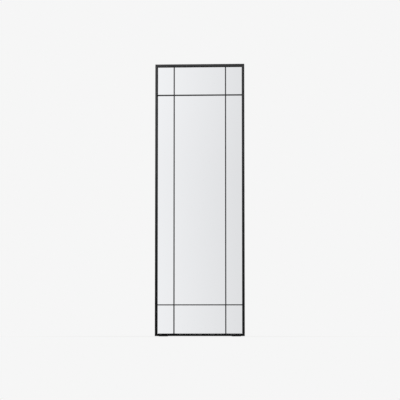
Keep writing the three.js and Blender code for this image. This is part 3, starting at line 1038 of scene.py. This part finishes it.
# %% [markdown]
# ## Bumpers and foot pads
# Four soft bumpers keep the stiles off the wall, and two pads keep the bottom rail off the floor.
# A bumper is turned like the screw, with a round shoulder and a slightly dished end, where it
# presses on the wall. A pad is a loft of rounded rectangles, one above the other. A bevelled
# cylinder would have no dish, and a bevelled box no round corners in plan.

# %% Bumpers and pads
bumper_radius = 6 * MM
bumper_shoulder = 1.5 * MM
bumper_dish = 0.25 * MM
dish_lip = 2.2 * MM
dish_floor = 3.2 * MM
lip_drop = 0.05 * MM
pad_corner = 4 * MM
pad_chamfer = 0.4 * MM


def bumper_template():
    height = span("wall_bumper_upper_left", "y")[1] - back_y
    profile = [(0, 0), (bumper_radius, 0)]
    for angle in quarter_circle(steps=8):
        radius = bumper_radius - bumper_shoulder * (1 - math.cos(angle))
        profile.append((radius, height - bumper_shoulder * (1 - math.sin(angle))))
    profile.append((bumper_radius - dish_lip, height - lip_drop))
    profile += [(bumper_radius - dish_floor, height - bumper_dish), (0, height - bumper_dish)]
    return linked("bumper_template", turned("bumper", profile, side_count=48))


def pad_template():
    """Chamfered below, square above. A second ring holds each flat face flat."""
    low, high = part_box("foot_pad_left")
    length, depth, thickness = high - low
    rings = []
    levels = ((0, 2), (0, 1), (pad_chamfer, 0), (thickness, 0), (thickness, 1))
    for height, chamfers in levels:
        inset = chamfers * pad_chamfer
        sizes = (length - 2 * inset, depth - 2 * inset, pad_corner - inset)
        rings.append([Vector((x, y, height)) for x, y in rounded_section(*sizes, steps=8, hold=0)])
    return linked("pad_template", loft("pad", rings))


bumper_names = [f"wall_bumper_{level}_{hand}" for level in ("upper", "lower") for hand in hands]
pad_names = [f"foot_pad_{hand}" for hand in hands]
bumper_seats = [seat(name, y=back_y) for name in bumper_names]
pad_seats = [seat(name, z=span(name, "z")[0]) for name in pad_names]
for name, template, nodes, seats in (
    ("rubber_bumpers", bumper_template(), bumper_names, bumper_seats),
    ("rubber_foot_pads", pad_template(), pad_names, pad_seats),
):
    piece = copies(name, template, seats, rubber)
    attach(piece, "mirror")
    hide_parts(*nodes)

# %% [markdown]
# ## Floor and background
# The photograph has a plain pale ground with no edge between floor and wall. For rays from the
# camera, and for those that come by way of a mirror or a metal, the floor mostly shows that pale
# colour itself, and near the object it mixes in a lit white that can take a shadow. The world shows
# the camera the same colour. What the glass mirrors is the studio in front of it, brighter on the
# left and darker far to the sides and high up. Floor and world share that glow, so that the glass
# shows no line where the floor ends.

# %% Floor and world
PALE = 0.922
WHITE = (1, 1, 1, 1)
ambient = 0.13
floor_radius = 14.0
lit_floor = (0.86, 0.86, 0.86, 1)


def ray_kinds(tree):
    """Two wires: rays straight from the camera, and rays by way of metal or glass."""
    rays = tree.add("ShaderNodeLightPath").socket.node.outputs
    kinds = ("Is Camera Ray", "Is Glossy Ray", "Is Transmission Ray")
    straight, glossy, through = [Wire(tree, rays[kind]) for kind in kinds]
    return straight, tree.math("MAXIMUM", glossy, through)


def studio_glow(tree, sideways, upwards):
    """How bright the studio looks in the glass, by the direction of the view."""
    outwards = tree.math("ABSOLUTE", sideways)
    left_to_right = tree.ramp(sideways, -0.1164, 0.0255, 0.957, 0.706)
    middle_to_top = tree.ramp(upwards, 0.085, 0.15, 0.972, 1.0)
    floor_to_middle = tree.ramp(upwards, 0.0, 0.07, 1.008, 1.0)
    far_to_the_sides = tree.ramp(outwards, 0.15, 0.8, 1.0, 0.84)
    high_up = tree.ramp(upwards, 0.25, 0.9, 1.0, 0.8)
    return left_to_right * middle_to_top * floor_to_middle * far_to_the_sides * high_up


def floor_material():
    tree, place = material_tree("pale_floor")
    straight, bounced = ray_kinds(tree)
    distance = tree.add("ShaderNodeVectorMath", {"operation": "LENGTH"}, {0: place}, "Value")
    # For mirrored rays the floor's glow dims from PALE near the object to 0.84 of it at 6 m. This is
    # painted shade of a floor that falls away from the light.
    near = tree.ramp(distance, 0.8, 6.0, PALE, 0.84 * PALE)
    far = studio_glow(tree, tree.math("DIVIDE", tree.parts(place)[0], distance), 0.0)
    mirrored = near + (far - near) * tree.ramp(distance, 3.0, 12.0)
    strength = straight * PALE + (1 - straight) * mirrored
    pale = tree.add("ShaderNodeEmission", sockets={"Color": WHITE, "Strength": strength})
    lit = tree.add("ShaderNodeBsdfDiffuse", sockets={"Color": lit_floor})
    share = tree.math("MAXIMUM", straight, bounced) * tree.ramp(distance, 0.35, 1.6, 0.92, 1.0)
    mixed = tree.add("ShaderNodeMixShader", sockets={0: share, 1: lit, 2: pale})
    tree.add("ShaderNodeOutputMaterial", sockets={"Surface": mixed})
    return tree.owner


def floor_disc():
    form = bmesh.new()
    bmesh.ops.create_circle(form, cap_ends=True, radius=floor_radius, segments=96)
    mesh = bpy.data.meshes.new("floor")
    form.to_mesh(mesh)
    form.free()
    return linked("floor", mesh, floor_material())


floor = floor_disc()
floor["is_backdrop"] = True


def studio_world():
    world = bpy.data.worlds.new("studio")
    bpy.context.scene.world = world
    tree = ShaderTree(world)
    straight, bounced = ray_kinds(tree)
    sideways, _, upwards = tree.parts(tree.add("ShaderNodeTexCoord", output="Generated"))
    unseen = (1 - bounced) * ambient + bounced * studio_glow(tree, sideways, upwards)
    strength = straight * PALE + (1 - straight) * unseen
    glow = tree.add("ShaderNodeBackground", sockets={"Color": WHITE, "Strength": strength})
    tree.add("ShaderNodeOutputWorld", sockets={"Surface": glow})


studio_world()
print("floor and world are in place")

# %% [markdown]
# ## Lamps
# The frame in the photograph is charcoal at the top and nearly black at the bottom, so the main
# light is a small soft box in front, to the left and just above the top. Its narrow beam falls off
# down the frame. A large lamp behind lights the back when the mirror is seen from there. The glass
# doesn't mirror either lamp, because the photograph shows none in it.

# %% Lamps
def aimed(name, data, location, target):
    """A lamp or a camera that looks from one point to another."""
    obj = linked(name, data)
    obj.location = location
    obj.rotation_euler = (Vector(target) - Vector(location)).to_track_quat("-Z", "Y").to_euler()
    return obj


def soft_box(name, location, target, size, power, spread):
    light = bpy.data.lights.new(name, "AREA")
    light.shape = "RECTANGLE"
    light.size, light.size_y = size
    light.energy = power
    light.spread = math.radians(spread)
    aimed(name, light, location, target).visible_glossy = False


soft_box("key_lamp", (-1.3, -2.2, 1.95), (0.0, 0.0, 1.75), (0.5, 0.5), power=13.5, spread=68)
soft_box("back_lamp", (1.6, 2.6, 2.3), (0.0, 0.0, 0.9), (2.0, 2.0), power=62, spread=180)
print("two soft boxes")

# %% [markdown]
# ## Camera
# The picture looks at the mirror almost square on, and its sides stay parallel. The underside of
# the top rail and the inner side of the left stile show a little, though. So the camera stands near
# the floor, a little to the right, and far away with a long lens. It aims at the middle of the
# frame's front.

# %% Camera
camera_place = Vector((0.6, -11.0, 0.04))
camera_target = Vector((0.0023, front_y, 0.8959))
metres_across = 2.636
sensor_width = 36.0
view_reach = 100


def photo_camera():
    data = bpy.data.cameras.new("camera")
    data.sensor_width = sensor_width
    data.lens = sensor_width * (camera_target - camera_place).length / metres_across
    data.clip_end = view_reach
    bpy.context.scene.camera = aimed("camera", data, camera_place, camera_target)
    return data


lens = photo_camera().lens
bpy.context.scene.view_settings.view_transform = "Standard"
print("lens in mm:", round(lens, 1))

# %% [markdown]
# ## Sizes
# The dressed mirror must fit the CAD model's box, so both boxes are measured and compared.

# %% Measure the boxes
dressed_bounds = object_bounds()
growth = [
    max(abs(a - b) for a, b in zip(cad, dressed)) / MM for cad, dressed in zip(cad_bounds, dressed_bounds)
]
print("largest difference of the boxes in mm:", [round(value, 3) for value in growth])
